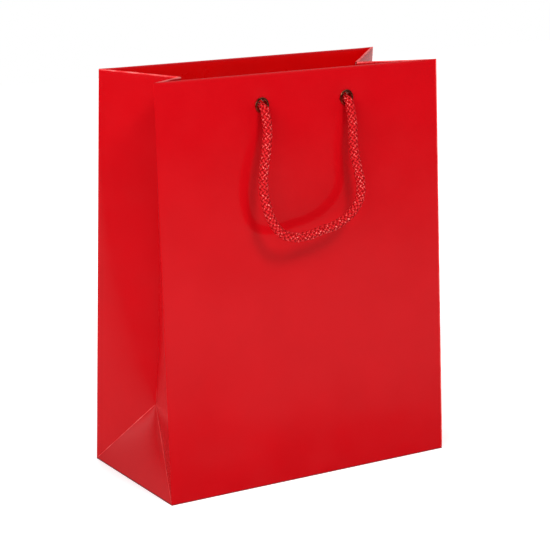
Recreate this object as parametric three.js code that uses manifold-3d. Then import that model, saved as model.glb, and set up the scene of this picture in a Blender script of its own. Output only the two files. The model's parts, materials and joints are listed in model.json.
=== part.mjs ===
// Gift bag of laminated paper with a side gusset, a flat glued bottom and two rope handles.
// Millimetres, +Z up, origin at the middle of the base where it meets the table, front towards -Y.
import * as THREE from "three";
import { mergeVertices } from "three/addons/utils/BufferGeometryUtils.js";
import Module from "manifold-3d";

const wasm = await Module();
wasm.setup();

// The bag, measured over the middle of the sheet.
const BAG_WIDTH = 201;
const BAG_DEPTH = 100.4;
const PANEL_HEIGHT = 254; // up the front and back sheets, from base fold to mouth fold
const LEAN_DEG = 3.4; // front and back sheets tilt in towards each other
const PAPER = 0.4;

// Clearances.
const FIT_GAP = 0.3; // between layers that lie on each other
const CREASE_GAP = 0.6; // from each sheet's edge to the crease that it turns on
const OPEN_CREASE_GAP = 1.6; // the same on creases that close as the mouth is squeezed
const TIP_TRIM = 3; // cut off each upper triangle's sharp tip at the mouth's corner

// The turned-over top and the card that it hides.
const HEM_DEPTH = 38;
const HEM_END_GAP = 14.5; // from each side crease, so the layers stay apart in a squeezed mouth
const CARD = 0.8;
const CARD_DEPTH = 34;
const CARD_DROP = 1.5; // from the underside of the mouth fold

// Base.
const FLAP_OVERLAP = 24;
const SIDE_FLAP_REACH = 40;
const SIDE_FLAP_SETBACK = 1.4; // from the side fold
const SIDE_FLAP_EASE = 2.6; // from the front and back folds
const SIDE_FLAP_CHAMFER = 18;
const BOARD = 1.2;
const BOARD_END_EASE = 4;
const BOARD_SIDE_EASE = 2;

// Lap that closes the sheet into a tube.
const GLUE_TAB_WIDTH = 13;
const GLUE_TAB_SETBACK = 1.5; // from the side crease
const GLUE_TAB_FOOT = 3; // above the base fold

// Eyelets and their washers.
const EYELET_SPACING = 60.6;
const EYELET_SHIFT = 1.8; // the pair sits this far right of the middle, seen from outside
const EYELET_DROP = 18.8; // below the mouth fold
const EYELET_BORE_RADIUS = 3.3;
const EYELET_WALL = 0.35;
const FLANGE_RADIUS = 4.75;
const FLANGE = 0.5;
const WASHER_RADIUS = 5.1;
const WASHER = 0.5;
const ROLL_RADIUS = 4.6; // the end of the barrel, rolled out over the washer

// Rope.
const ROPE_RADIUS = 3;
const ROPE_IN_EYELET_RADIUS = 2.9;
const KNOT_RADIUS = 5.5;
const KNOT_DROP = 3.5; // the knot hangs a little below its eyelet
const TAIL_LENGTH = 12;
const ROPE_SIDES = 10;
const ROPE_STEPS = 34;

// The hanging loop's middle line from the left eyelet to the right one, seen from outside: right of
// the middle of the eyelets, out from the middle of the sheet's thickness, and up from the eyelets.
const LOOP_ROUTE = [
  [-30.3, 4.4, 0],
  [-30.4, 5.5, -5.7],
  [-30.9, 6.8, -13.2],
  [-32.4, 8.2, -21.7],
  [-34.4, 9.5, -29.2],
  [-36.2, 10.3, -36.2],
  [-37.4, 11, -43.2],
  [-37.8, 12, -50.7],
  [-37.2, 13, -57.7],
  [-35.6, 14, -64.4],
  [-32.8, 15, -70.9],
  [-27.8, 16, -76.4],
  [-20.3, 16.5, -79.2],
  [-11.3, 16.5, -79.2],
  [-1.4, 16.5, -77.2],
  [7.7, 16, -75.7],
  [16, 15.5, -72.9],
  [22.8, 15, -68.5],
  [28.2, 14, -63],
  [31, 13, -56.8],
  [31.5, 12, -50.8],
  [30.6, 11, -44.2],
  [29.6, 10, -37.5],
  [29, 9, -30.8],
  [29.3, 8, -23.2],
  [30, 6.9, -15.2],
  [30.3, 5.7, -7.2],
  [30.3, 4.4, 0],
];

// Finishes.
const RED_PAPER = { color: 0xc81420, roughness: 0.3 };
const INNER_PAPER = { color: 0xf0e9e2, roughness: 0.8 };
const CARD_BOARD = { color: 0xd9cfc2, roughness: 0.9 };
const GOLD_METAL = { color: 0xc79a4a, roughness: 0.3, metalness: 1 };
const RED_ROPE = { color: 0xb8141e, roughness: 0.55 };

// Sizes that follow from those.
const HALF_WIDTH = BAG_WIDTH / 2;
const HALF_DEPTH = BAG_DEPTH / 2;
const FOLD_HEIGHT = PAPER / 2; // the base folds run at mid-thickness of the lowest layer
const LEAN = THREE.MathUtils.degToRad(LEAN_DEG);
const HEM_FACE = PAPER / 2 + FIT_GAP + CARD + FIT_GAP; // the hem's hidden face, in from mid-sheet
const STACK_FACE = HEM_FACE + PAPER; // the innermost face of sheet, card and hem
const FLANGE_FACE = PAPER / 2 + FIT_GAP + FLANGE;
const PIVOT_OUT = LOOP_ROUTE[0][1]; // the loop swings about a line this far out
const EYELET_HEIGHT = PANEL_HEIGHT - EYELET_DROP;

// ---- solids ----

function solidOf(geometry) {
  const bare = geometry.clone();
  bare.deleteAttribute("normal");
  bare.deleteAttribute("uv");
  const merged = mergeVertices(bare, 1e-4);
  return new wasm.Manifold(
    new wasm.Mesh({
      numProp: 3,
      vertProperties: new Float32Array(merged.attributes.position.array),
      triVerts: new Uint32Array(merged.index.array),
    }),
  );
}

function geometryOf(solid) {
  const mesh = solid.getMesh();
  const geometry = new THREE.BufferGeometry();
  geometry.setAttribute("position", new THREE.BufferAttribute(mesh.vertProperties, 3));
  geometry.setIndex(new THREE.BufferAttribute(mesh.triVerts, 1));
  geometry.computeVertexNormals();
  return geometry;
}

function join(...geometries) {
  return geometryOf(geometries.map(solidOf).reduce((whole, one) => whole.add(one)));
}

function cut(geometry, ...tools) {
  return geometryOf(tools.map(solidOf).reduce((left, tool) => left.subtract(tool), solidOf(geometry)));
}

function box(low, high) {
  const size = high.map((value, axis) => value - low[axis]);
  const middle = high.map((value, axis) => (value + low[axis]) / 2);
  return new THREE.BoxGeometry(...size).translate(...middle);
}

// A flat outline pushed from one level to another along local z.
function plate(outline, low, high) {
  const shape = new THREE.Shape(outline.map(([x, y]) => new THREE.Vector2(x, y)));
  const settings = { depth: high - low, bevelEnabled: false, curveSegments: 1 };
  return new THREE.ExtrudeGeometry(shape, settings).translate(0, 0, low);
}

// A round piece turned about the y axis; the profile is [radius, y] from start to end, closed.
function turned(profile, sides) {
  const points = [...profile, profile[0]].map(([radius, y]) => new THREE.Vector2(radius, y));
  return new THREE.LatheGeometry(points, sides);
}

function rod(radius, from, to, sides) {
  const turnedRod = new THREE.CylinderGeometry(radius, radius, to - from, sides);
  return turnedRod.translate(0, (from + to) / 2, 0);
}

function piece(parent, name, geometry, finish) {
  const mesh = new THREE.Mesh(geometry, new THREE.MeshStandardMaterial(finish));
  mesh.name = name;
  parent.add(mesh);
  return mesh;
}

// Moves each edge of a convex outline inwards by its own clearance.
function inset(outline, clearances) {
  const area = THREE.ShapeUtils.area(outline);
  const lines = outline.map((start, i) => {
    const end = outline[(i + 1) % outline.length];
    const along = end.clone().sub(start).normalize();
    const inward = new THREE.Vector2(-along.y, along.x).multiplyScalar(Math.sign(area));
    return { start: start.clone().addScaledVector(inward, clearances[i]), along };
  });
  return lines.map((line, i) => {
    const before = lines[(i + lines.length - 1) % lines.length];
    const apart = line.start.clone().sub(before.start);
    const reach = apart.cross(line.along) / before.along.cross(line.along);
    const corner = before.start.clone().addScaledVector(before.along, reach);
    return [corner.x, corner.y];
  });
}

// ---- the folded gusset ----

// The gusset's fold points on the left side, at the front: base corner, top corner, the point where
// the three lower creases meet, and the middle of the top edge. y = 0 is the bag's middle plane.
function gussetPoints() {
  const tuck = Math.acos((1 - Math.sin(LEAN)) / Math.cos(LEAN));
  const corner = new THREE.Vector3(-HALF_WIDTH, -HALF_DEPTH, FOLD_HEIGHT);
  const rise = new THREE.Vector3(0, Math.sin(LEAN), Math.cos(LEAN));
  const top = corner.clone().addScaledVector(rise, PANEL_HEIGHT);
  const apexIn = HALF_DEPTH * Math.sin(tuck);
  const apexUp = HALF_DEPTH * Math.cos(tuck);
  const apex = new THREE.Vector3(-HALF_WIDTH + apexIn, 0, FOLD_HEIGHT + apexUp);
  // The fold's top is HALF_DEPTH from the top corner and as far from the apex as in the flat sheet.
  const fromTop = Math.sqrt(HALF_DEPTH ** 2 - top.y ** 2);
  const fromApex = PANEL_HEIGHT - HALF_DEPTH;
  const start = new THREE.Vector2(top.x, top.z);
  const across = new THREE.Vector2(apex.x, apex.z).sub(start);
  const gap = across.length();
  const along = (fromTop ** 2 - fromApex ** 2 + gap ** 2) / (2 * gap);
  const aside = Math.sqrt(fromTop ** 2 - along ** 2);
  const unit = across.clone().divideScalar(gap);
  const met = start.addScaledVector(unit, along);
  met.add(new THREE.Vector2(-unit.y, unit.x).multiplyScalar(aside));
  const fold = new THREE.Vector3(met.x, 0, met.y);
  return { corner, top, apex, fold };
}

// A facet's own frame: local x runs from the first point to the second, local z looks into the bag.
function facetFrame(first, second, third, inside) {
  const x = second.clone().sub(first).normalize();
  const z = x.clone().cross(third.clone().sub(first)).normalize();
  if (z.dot(inside.clone().sub(first)) < 0) z.negate();
  const y = z.clone().cross(x);
  return new THREE.Matrix4().makeBasis(x, y, z).setPosition(first);
}

// One triangle of folded sheet, held back from its three creases by the clearances given.
function facetGeometry(points, clearances, frame) {
  const back = frame.clone().invert();
  const flat = points.map((point) => {
    const local = point.clone().applyMatrix4(back);
    return new THREE.Vector2(local.x, local.y);
  });
  return plate(inset(flat, clearances), -PAPER / 2, PAPER / 2);
}

function placed(mesh, frame) {
  frame.decompose(mesh.position, mesh.quaternion, mesh.scale);
  return mesh;
}

// The turned-over strip along the top of a gusset quarter, and the fold that carries it.
function gussetHem(down) {
  const start = HEM_END_GAP;
  const end = HALF_DEPTH - OPEN_CREASE_GAP;
  const face = PAPER / 2 + FIT_GAP;
  const strip = [[start, 0], [end, 0], [end, down * HEM_DEPTH], [start, down * HEM_DEPTH]];
  const lip = [[start, 0], [end, 0], [end, down * PAPER], [start, down * PAPER]];
  return [plate(strip, face, face + PAPER), plate(lip, -PAPER / 2, face + PAPER)];
}

// One quarter of the gussets: a lower and an upper triangle. side is -1 left, 1 right; face is -1
// front, 1 back. The reference quarter is the left front one, and the others are its reflections.
function gussetQuarter(bag, side, face, name) {
  const turn = new THREE.Vector3(-side, -face, 1);
  const at = Object.fromEntries(
    Object.entries(gussetPoints()).map(([key, point]) => [key, point.multiply(turn)]),
  );
  const inside = new THREE.Vector3(0, face * HALF_DEPTH * 0.5, PANEL_HEIGHT / 2);

  const lower = [at.corner, at.top, at.apex];
  const lowerFrame = facetFrame(...lower, inside);
  const lowerSheet = facetGeometry(lower, [CREASE_GAP, CREASE_GAP, OPEN_CREASE_GAP], lowerFrame);
  placed(piece(bag, `${name}_gusset_lower`, lowerSheet, RED_PAPER), lowerFrame);

  const upperFrame = facetFrame(at.top, at.fold, at.apex, inside);
  const trimmed = (end) => at.top.clone().addScaledVector(end.clone().sub(at.top).normalize(), TIP_TRIM);
  const upper = [trimmed(at.fold), at.fold, at.apex, trimmed(at.apex)];
  const upperSheet = facetGeometry(upper, [0, OPEN_CREASE_GAP, CREASE_GAP, 0], upperFrame);
  const down = Math.sign(at.apex.clone().applyMatrix4(upperFrame.clone().invert()).y);
  const hemmed = join(upperSheet, ...gussetHem(down));
  placed(piece(bag, `${name}_gusset_upper`, hemmed, RED_PAPER), upperFrame);
}

// The triangle that stands on the base's side fold, between the two lower creases.
function gussetFoot(bag, side, name) {
  const { corner, apex } = gussetPoints();
  const turn = new THREE.Vector3(-side, 1, 1);
  const front = corner.clone().multiply(turn);
  const back = front.clone().multiply(new THREE.Vector3(1, -1, 1));
  const points = [front, back, apex.multiply(turn)];
  const frame = facetFrame(...points, new THREE.Vector3(0, 0, PANEL_HEIGHT / 2));
  const clearances = [CREASE_GAP, OPEN_CREASE_GAP, OPEN_CREASE_GAP];
  placed(piece(bag, `${name}_gusset_foot`, facetGeometry(points, clearances, frame), RED_PAPER), frame);
}

// ---- front and back sheets, in a frame with x right, y into the bag and z up the sheet ----

// Right of the sheet's middle in a frame whose y looks into the bag, seen from outside.
const EYELET_PLACES = [
  { hand: "left", x: EYELET_SHIFT - EYELET_SPACING / 2 },
  { hand: "right", x: EYELET_SHIFT + EYELET_SPACING / 2 },
];

function boreTools() {
  const radius = EYELET_BORE_RADIUS + EYELET_WALL + FIT_GAP;
  const bore = () => rod(radius, -STACK_FACE, 2 * STACK_FACE, 24);
  return EYELET_PLACES.map(({ x }) => bore().translate(x, 0, EYELET_HEIGHT));
}

function sheet() {
  const half = HALF_WIDTH - CREASE_GAP;
  const hemHalf = HALF_WIDTH - HEM_END_GAP;
  const hemFoot = PANEL_HEIGHT - HEM_DEPTH;
  const wall = box([-half, -PAPER / 2, PAPER / 2 + FIT_GAP], [half, PAPER / 2, PANEL_HEIGHT]);
  const hem = box([-hemHalf, HEM_FACE, hemFoot], [hemHalf, STACK_FACE, PANEL_HEIGHT]);
  const fold = box([-hemHalf, 0, PANEL_HEIGHT - PAPER], [hemHalf, STACK_FACE, PANEL_HEIGHT]);
  return cut(join(wall, hem, fold), ...boreTools());
}

function mouthCard() {
  const half = HALF_WIDTH - HEM_END_GAP;
  const high = PANEL_HEIGHT - PAPER - CARD_DROP;
  const near = PAPER / 2 + FIT_GAP;
  return cut(box([-half, near, high - CARD_DEPTH], [half, near + CARD, high]), ...boreTools());
}

function glueTab() {
  const outer = HALF_WIDTH - GLUE_TAB_SETBACK;
  const near = PAPER / 2 + FIT_GAP;
  const top = PANEL_HEIGHT - HEM_DEPTH - FIT_GAP;
  return box([outer - GLUE_TAB_WIDTH, near, GLUE_TAB_FOOT], [outer, near + PAPER, top]);
}

function eyelet() {
  const barrel = EYELET_BORE_RADIUS + EYELET_WALL;
  const rollFoot = STACK_FACE + FIT_GAP + WASHER + FIT_GAP;
  const profile = [
    [EYELET_BORE_RADIUS, -FLANGE_FACE],
    [FLANGE_RADIUS, -FLANGE_FACE],
    [FLANGE_RADIUS, -FLANGE_FACE + FLANGE],
    [barrel, -FLANGE_FACE + FLANGE],
    [barrel, rollFoot],
    [ROLL_RADIUS, rollFoot],
    [ROLL_RADIUS, rollFoot + EYELET_WALL],
    [EYELET_BORE_RADIUS, rollFoot + EYELET_WALL],
  ];
  return turned(profile, 24);
}

function washer() {
  const bore = EYELET_BORE_RADIUS + EYELET_WALL + FIT_GAP;
  const near = STACK_FACE + FIT_GAP;
  const profile = [
    [bore, near],
    [WASHER_RADIUS, near],
    [WASHER_RADIUS, near + WASHER],
    [bore, near + WASHER],
  ];
  return turned(profile, 24);
}

// The rope's end inside the bag: the short length through the eyelet, the knot and its cut tail.
function knot() {
  const rollTop = STACK_FACE + 2 * FIT_GAP + WASHER + EYELET_WALL;
  const middle = rollTop + FIT_GAP + KNOT_RADIUS;
  const stubStart = FIT_GAP + ROPE_RADIUS - PIVOT_OUT;
  const stub = rod(ROPE_IN_EYELET_RADIUS, stubStart, middle, ROPE_SIDES);
  const ball = new THREE.SphereGeometry(KNOT_RADIUS, 14, 10).translate(0, middle, -KNOT_DROP);
  const tail = rod(ROPE_RADIUS, 0, TAIL_LENGTH, ROPE_SIDES).rotateX(-Math.PI / 2);
  return join(stub, ball, tail.translate(0, middle, -KNOT_DROP));
}

// The loop outside, with a round end on its swing line at each eyelet.
function handleLoop() {
  const points = LOOP_ROUTE.map(([right, out, up]) => {
    return new THREE.Vector3(EYELET_SHIFT + right, -out, EYELET_HEIGHT + up);
  });
  const section = new THREE.Shape();
  section.absarc(0, 0, ROPE_RADIUS, 0, 2 * Math.PI);
  const tube = new THREE.ExtrudeGeometry(section, {
    steps: ROPE_STEPS,
    curveSegments: ROPE_SIDES,
    extrudePath: new THREE.CatmullRomCurve3(points, false, "centripetal"),
  });
  const end = () => new THREE.SphereGeometry(ROPE_RADIUS, 12, 8);
  const first = end().translate(...points[0].toArray());
  const last = end().translate(...points.at(-1).toArray());
  return join(tube, first, last);
}

// side is "front" or "back"; the back is the front turned half round, so it has the same hand.
function panelGroup(bag, side) {
  const turned = new THREE.Group();
  turned.rotation.z = side === "back" ? Math.PI : 0;
  const leaning = new THREE.Group();
  leaning.position.set(0, -HALF_DEPTH, FOLD_HEIGHT);
  leaning.rotation.x = -LEAN;
  turned.add(leaning);
  bag.add(turned);

  piece(leaning, `${side}_panel`, sheet(), RED_PAPER);
  piece(leaning, `${side}_mouth_card`, mouthCard(), CARD_BOARD);
  piece(leaning, `${side}_handle`, handleLoop(), RED_ROPE);
  for (const { hand, x } of EYELET_PLACES) {
    const parts = { eyelet: [eyelet, GOLD_METAL], washer: [washer, GOLD_METAL], knot: [knot, RED_ROPE] };
    for (const [kind, [make, finish]] of Object.entries(parts)) {
      piece(leaning, `${side}_${hand}_${kind}`, make(), finish).position.set(x, 0, EYELET_HEIGHT);
    }
  }
  if (side === "back") piece(leaning, "glue_tab", glueTab(), RED_PAPER);
}

// ---- base ----

function baseFlaps(bag) {
  const half = HALF_WIDTH + PAPER / 2;
  const edge = HALF_DEPTH + PAPER / 2;
  const lap = FLAP_OVERLAP / 2;
  piece(bag, "base_front_flap", box([-half, -edge, 0], [half, lap, PAPER]), RED_PAPER);

  // The back flap lies level with the front one, then steps up over its edge, a little narrower.
  const upper = PAPER + FIT_GAP;
  const step = lap + FIT_GAP;
  const tongue = HALF_WIDTH - SIDE_FLAP_SETBACK;
  const level0 = box([-half, step, 0], [half, edge, PAPER]);
  const riser = box([-tongue, step, 0], [tongue, step + PAPER, upper + PAPER]);
  const level1 = box([-tongue, -lap, upper], [tongue, step + PAPER, upper + PAPER]);
  piece(bag, "base_back_flap", join(level0, riser, level1), RED_PAPER);

  const level = upper + PAPER + FIT_GAP;
  const outer = HALF_WIDTH - SIDE_FLAP_SETBACK;
  const inner = outer - SIDE_FLAP_REACH;
  const wide = HALF_DEPTH - SIDE_FLAP_EASE;
  const narrow = wide - SIDE_FLAP_CHAMFER;
  const outline = [
    [outer, -wide],
    [outer, wide],
    [inner + SIDE_FLAP_CHAMFER, wide],
    [inner, narrow],
    [inner, -narrow],
    [inner + SIDE_FLAP_CHAMFER, -wide],
  ];
  for (const [name, angle] of [["right", 0], ["left", Math.PI]]) {
    const flap = piece(bag, `base_${name}_flap`, plate(outline, level, level + PAPER), RED_PAPER);
    flap.rotation.z = angle;
  }
  return level + PAPER;
}

function baseBoard(bag, seat) {
  const x = HALF_WIDTH - BOARD_END_EASE;
  const y = HALF_DEPTH - BOARD_SIDE_EASE;
  piece(bag, "base_board", box([-x, -y, seat + FIT_GAP], [x, y, seat + FIT_GAP + BOARD]), CARD_BOARD);
}

// ---- the whole bag ----

const bag = new THREE.Group();
baseBoard(bag, baseFlaps(bag));
panelGroup(bag, "front");
panelGroup(bag, "back");
for (const [sideName, side] of [["left", -1], ["right", 1]]) {
  gussetFoot(bag, side, sideName);
  for (const [faceName, face] of [["front", -1], ["back", 1]]) {
    gussetQuarter(bag, side, face, `${sideName}_${faceName}`);
  }
}

export default bag;
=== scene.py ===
"""Looks of a glossy paper gift bag with braided rope handles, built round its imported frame."""

import sys
import json
import logging
import math
from collections.abc import Callable
from dataclasses import dataclass, field
from enum import Enum

import bmesh
import bpy
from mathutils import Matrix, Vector, noise


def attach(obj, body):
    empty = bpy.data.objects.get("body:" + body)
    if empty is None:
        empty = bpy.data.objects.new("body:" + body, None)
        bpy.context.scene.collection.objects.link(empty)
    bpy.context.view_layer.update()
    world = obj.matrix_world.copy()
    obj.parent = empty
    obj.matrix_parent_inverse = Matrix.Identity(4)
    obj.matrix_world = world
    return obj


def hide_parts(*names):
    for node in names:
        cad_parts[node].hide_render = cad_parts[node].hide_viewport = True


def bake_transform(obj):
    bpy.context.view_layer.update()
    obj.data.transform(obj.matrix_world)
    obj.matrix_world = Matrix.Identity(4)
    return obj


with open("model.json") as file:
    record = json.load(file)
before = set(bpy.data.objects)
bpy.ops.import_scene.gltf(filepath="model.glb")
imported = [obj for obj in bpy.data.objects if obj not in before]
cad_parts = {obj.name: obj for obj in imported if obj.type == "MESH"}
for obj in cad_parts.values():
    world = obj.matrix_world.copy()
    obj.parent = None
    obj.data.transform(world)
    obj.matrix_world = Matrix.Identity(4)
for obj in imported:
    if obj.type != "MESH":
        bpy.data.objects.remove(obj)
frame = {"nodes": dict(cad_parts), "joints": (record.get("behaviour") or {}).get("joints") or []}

log = logging.getLogger("gift_bag")

MM = 0.001

HALF_WIDTH = 100.5
HALF_DEPTH = 50.2
FOLD_HEIGHT = 0.2
SHEET_HEIGHT = 254.0
LEAN = math.radians(3.4)
PAPER = 0.4
HEM_DEPTH = 38.0

EYELET_SPACING = 60.6
EYELET_SHIFT = 1.8
EYELET_HEIGHT = 235.2

HEART = Vector((0, 0, 110))


class Face(Enum):
    """The two broad faces of the bag."""

    FRONT = "front"
    BACK = "back"

    @property
    def turn(self) -> float:
        """One for the front, and minus one for the back, which is the front turned half round."""
        return 1.0 if self is Face.FRONT else -1.0


class Side(Enum):
    """The two gusseted sides of the bag."""

    LEFT = "left"
    RIGHT = "right"

    @property
    def sign(self) -> float:
        """The sign of x on this side."""
        return -1.0 if self is Side.LEFT else 1.0


def on_panel(face: Face, right: float, inward: float, up: float) -> Vector:
    """Gives a point from its place on a leaning panel.

    Args:
        face: The panel.
        right: Millimetres right of the panel's middle, seen from outside.
        inward: Millimetres from the middle of the sheet towards the inside.
        up: Millimetres up the sheet from its bottom crease.

    Returns:
        The point in the bag's frame, in millimetres.
    """
    y = -HALF_DEPTH + inward * math.cos(LEAN) + up * math.sin(LEAN)
    z = FOLD_HEIGHT - inward * math.sin(LEAN) + up * math.cos(LEAN)
    return Vector((face.turn * right, face.turn * y, z))


def smooth(value: float) -> float:
    """Eases a value between nought and one."""
    clipped = min(max(value, 0.0), 1.0)
    return clipped * clipped * (3 - 2 * clipped)


def joint_place(name: str) -> Vector:
    """Gives a CAD joint's place in millimetres."""
    found = next(joint for joint in frame["joints"] if joint["name"] == name)
    return Vector(found["pos_m"]) / MM


# ---------------------------------------------------------------- node building


@dataclass
class NodeSheet:
    """A material's or world's nodes, laid down one at a time."""

    tree: bpy.types.NodeTree

    def node(self, kind: str, **values: object) -> bpy.types.Node:
        """Adds a node.

        Args:
            kind: The node's type name.
            **values: Attributes to set on it.

        Returns:
            The new node.
        """
        made = self.tree.nodes.new(kind)
        for name, value in values.items():
            setattr(made, name, value)
        return made

    def join(self, source: bpy.types.NodeSocket, target: bpy.types.NodeSocket) -> None:
        """Links one socket to another."""
        self.tree.links.new(source, target)

    def place(self) -> bpy.types.NodeSocket:
        """Gives a point's place in its object's own coordinates."""
        return self.node("ShaderNodeTexCoord").outputs["Object"]

    def stretched(
        self, place: bpy.types.NodeSocket, scale: tuple[float, float, float]
    ) -> bpy.types.NodeSocket:
        """Scales a place along each axis and returns it."""
        made = self.node("ShaderNodeMapping")
        made.inputs["Scale"].default_value = scale
        self.join(place, made.inputs["Vector"])
        return made.outputs["Vector"]

    def mix(self, share: object, low: object, high: object) -> bpy.types.NodeSocket:
        """Mixes two colours by a share, each of them a socket or a fixed value, and returns the colour."""
        made = self.node("ShaderNodeMix", data_type="RGBA")
        for name, value in (("Factor", share), ("A", low), ("B", high)):
            if isinstance(value, bpy.types.NodeSocket):
                self.join(value, made.inputs[name])
            else:
                made.inputs[name].default_value = value
        return made.outputs["Result"]

    def noise(self, place: bpy.types.NodeSocket, scale: float, detail: float) -> bpy.types.NodeSocket:
        """Adds a noise texture over a place and returns its value."""
        made = self.node("ShaderNodeTexNoise")
        made.inputs["Scale"].default_value = scale
        made.inputs["Detail"].default_value = detail
        self.join(place, made.inputs["Vector"])
        return made.outputs["Fac"]

    def spread(
        self, value: bpy.types.NodeSocket, low: float, high: float, to_low: float, to_high: float
    ) -> bpy.types.NodeSocket:
        """Maps one range of a value onto another and returns the result."""
        made = self.node("ShaderNodeMapRange")
        made.inputs["From Min"].default_value = low
        made.inputs["From Max"].default_value = high
        made.inputs["To Min"].default_value = to_low
        made.inputs["To Max"].default_value = to_high
        self.join(value, made.inputs["Value"])
        return made.outputs["Result"]

    def ramp(
        self, value: bpy.types.NodeSocket, stops: list[tuple[float, tuple[float, float, float]]]
    ) -> bpy.types.NodeSocket:
        """Colours a value by stops of position and colour and returns the colour."""
        made = self.node("ShaderNodeValToRGB")
        elements = made.color_ramp.elements
        for element, (position, colour) in ((elements[0], stops[0]), (elements[1], stops[-1])):
            element.position = position
            element.color = (*colour, 1)
        for position, colour in stops[1:-1]:
            elements.new(position).color = (*colour, 1)
        self.join(value, made.inputs["Fac"])
        return made.outputs["Color"]

    def bump(self, height: bpy.types.NodeSocket, strength: float, distance: float) -> bpy.types.Node:
        """Adds a bump node fed by a height and returns the node."""
        made = self.node("ShaderNodeBump")
        made.inputs["Strength"].default_value = strength
        made.inputs["Distance"].default_value = distance
        self.join(height, made.inputs["Height"])
        return made

    def relief(
        self, shader: bpy.types.Node, height: bpy.types.NodeSocket, strength: float, distance: float
    ) -> None:
        """Raises a shader's surface by a height."""
        self.join(self.bump(height, strength, distance).outputs["Normal"], shader.inputs["Normal"])


def new_material(name: str) -> tuple[bpy.types.Material, NodeSheet, bpy.types.Node]:
    """Starts a material.

    Args:
        name: The material's name.

    Returns:
        The material, its node sheet and its surface shader.
    """
    material = bpy.data.materials.new(name)
    material.use_nodes = True
    shader = material.node_tree.nodes["Principled BSDF"]
    return material, NodeSheet(material.node_tree), shader


# ---------------------------------------------------------------- finishes


@dataclass(frozen=True)
class GlossPaper:
    """Red paper under a clear gloss film."""

    name: str = "red_gloss_paper"
    dark: tuple[float, float, float] = (0.456, 0.0018, 0.0046)
    light: tuple[float, float, float] = (0.482, 0.0024, 0.0056)
    roughness: float = 0.10
    grain: float = 0.035
    mottle_scale: float = 34
    smudge_scale: float = 60
    ripple_scale: float = 900
    drift_scale: float = 16

    def material(self) -> bpy.types.Material:
        """Makes the material: a faint mottle in the red, and the film's fine ripple."""
        material, nodes, shader = new_material(self.name)
        place = nodes.place()
        mottle = nodes.noise(place, self.mottle_scale, 4)
        nodes.join(nodes.ramp(mottle, [(0.3, self.dark), (0.7, self.light)]), shader.inputs["Base Color"])
        smudge = nodes.noise(place, self.smudge_scale, 3)
        low, high = self.roughness * 0.85, self.roughness * 1.25
        nodes.join(nodes.spread(smudge, 0.3, 0.7, low, high), shader.inputs["Roughness"])
        ripple = nodes.bump(nodes.noise(place, self.ripple_scale, 3), self.grain, 0.0003)
        drift = nodes.bump(nodes.noise(place, self.drift_scale, 1), 0.10, 0.002)
        nodes.join(ripple.outputs["Normal"], drift.inputs["Normal"])
        nodes.join(drift.outputs["Normal"], shader.inputs["Normal"])
        shader.inputs["IOR"].default_value = 1.5
        return material


@dataclass(frozen=True)
class CreasedPaper:
    """The film on a crease, where it has whitened a little and carries a painted highlight."""

    name: str = "creased_gloss_paper"
    sound: tuple[float, float, float] = (0.70, 0.012, 0.016)
    worn_and_highlight: tuple[float, float, float] = (0.84, 0.14, 0.13)
    roughness: float = 0.3
    wear_and_highlight_scale: float = 120
    crack_scale: float = 2600

    def material(self) -> bpy.types.Material:
        """Makes the material: whitening and painted highlight that come and go along the crease."""
        material, nodes, shader = new_material(self.name)
        place = nodes.place()
        wear_and_highlight = nodes.noise(place, self.wear_and_highlight_scale, 5)
        # The lighter colour is partly the film's whitening and partly a painted highlight along the fold.
        nodes.join(nodes.ramp(wear_and_highlight, [(0.38, self.sound), (0.68, self.worn_and_highlight)]), shader.inputs["Base Color"])
        nodes.relief(shader, nodes.noise(place, self.crack_scale, 2), 0.25, 0.0001)
        shader.inputs["Roughness"].default_value = self.roughness
        return material


@dataclass(frozen=True)
class PlainPaper:
    """The uncoated inner side of the paper, or plain board, with its fibres."""

    name: str
    light: tuple[float, float, float]
    dark: tuple[float, float, float]
    fleck: tuple[float, float, float]
    roughness: float = 0.82
    pulp_scale: float = 90
    fibre_scale: float = 520
    fibre_stretch: float = 3.5
    tooth_scale: float = 1400

    def material(self) -> bpy.types.Material:
        """Makes the material: cloudy pulp, scattered fibres and a soft tooth."""
        material, nodes, shader = new_material(self.name)
        place = nodes.place()
        pulp = nodes.ramp(nodes.noise(place, self.pulp_scale, 6), [(0.35, self.dark), (0.65, self.light)])
        drawn = nodes.stretched(place, (1, self.fibre_stretch, 1))
        fibre = nodes.spread(nodes.noise(drawn, self.fibre_scale, 3), 0.66, 0.74, 0, 0.6)
        nodes.join(nodes.mix(fibre, pulp, (*self.fleck, 1)), shader.inputs["Base Color"])
        nodes.relief(shader, nodes.noise(place, self.tooth_scale, 4), 0.3, 0.0002)
        shader.inputs["Roughness"].default_value = self.roughness
        return material


@dataclass(frozen=True)
class EyeletBrass:
    """Pressed brass, a little tarnished in patches."""

    name: str = "pressed_brass"
    bright: tuple[float, float, float] = (0.66, 0.26, 0.14)
    tarnish: tuple[float, float, float] = (0.26, 0.05, 0.03)
    roughness: float = 0.2
    patch_scale: float = 420
    mark_scale: float = 1800

    def material(self) -> bpy.types.Material:
        """Makes the material: tarnish in patches, and the marks of the press."""
        material, nodes, shader = new_material(self.name)
        place = nodes.place()
        patch = nodes.noise(place, self.patch_scale, 4)
        nodes.join(nodes.ramp(patch, [(0.36, self.tarnish), (0.6, self.bright)]), shader.inputs["Base Color"])
        nodes.join(nodes.spread(patch, 0.3, 0.7, 0.4, self.roughness), shader.inputs["Roughness"])
        nodes.relief(shader, nodes.noise(place, self.mark_scale, 3), 0.15, 0.0001)
        shader.inputs["Metallic"].default_value = 1.0
        return material


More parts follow.
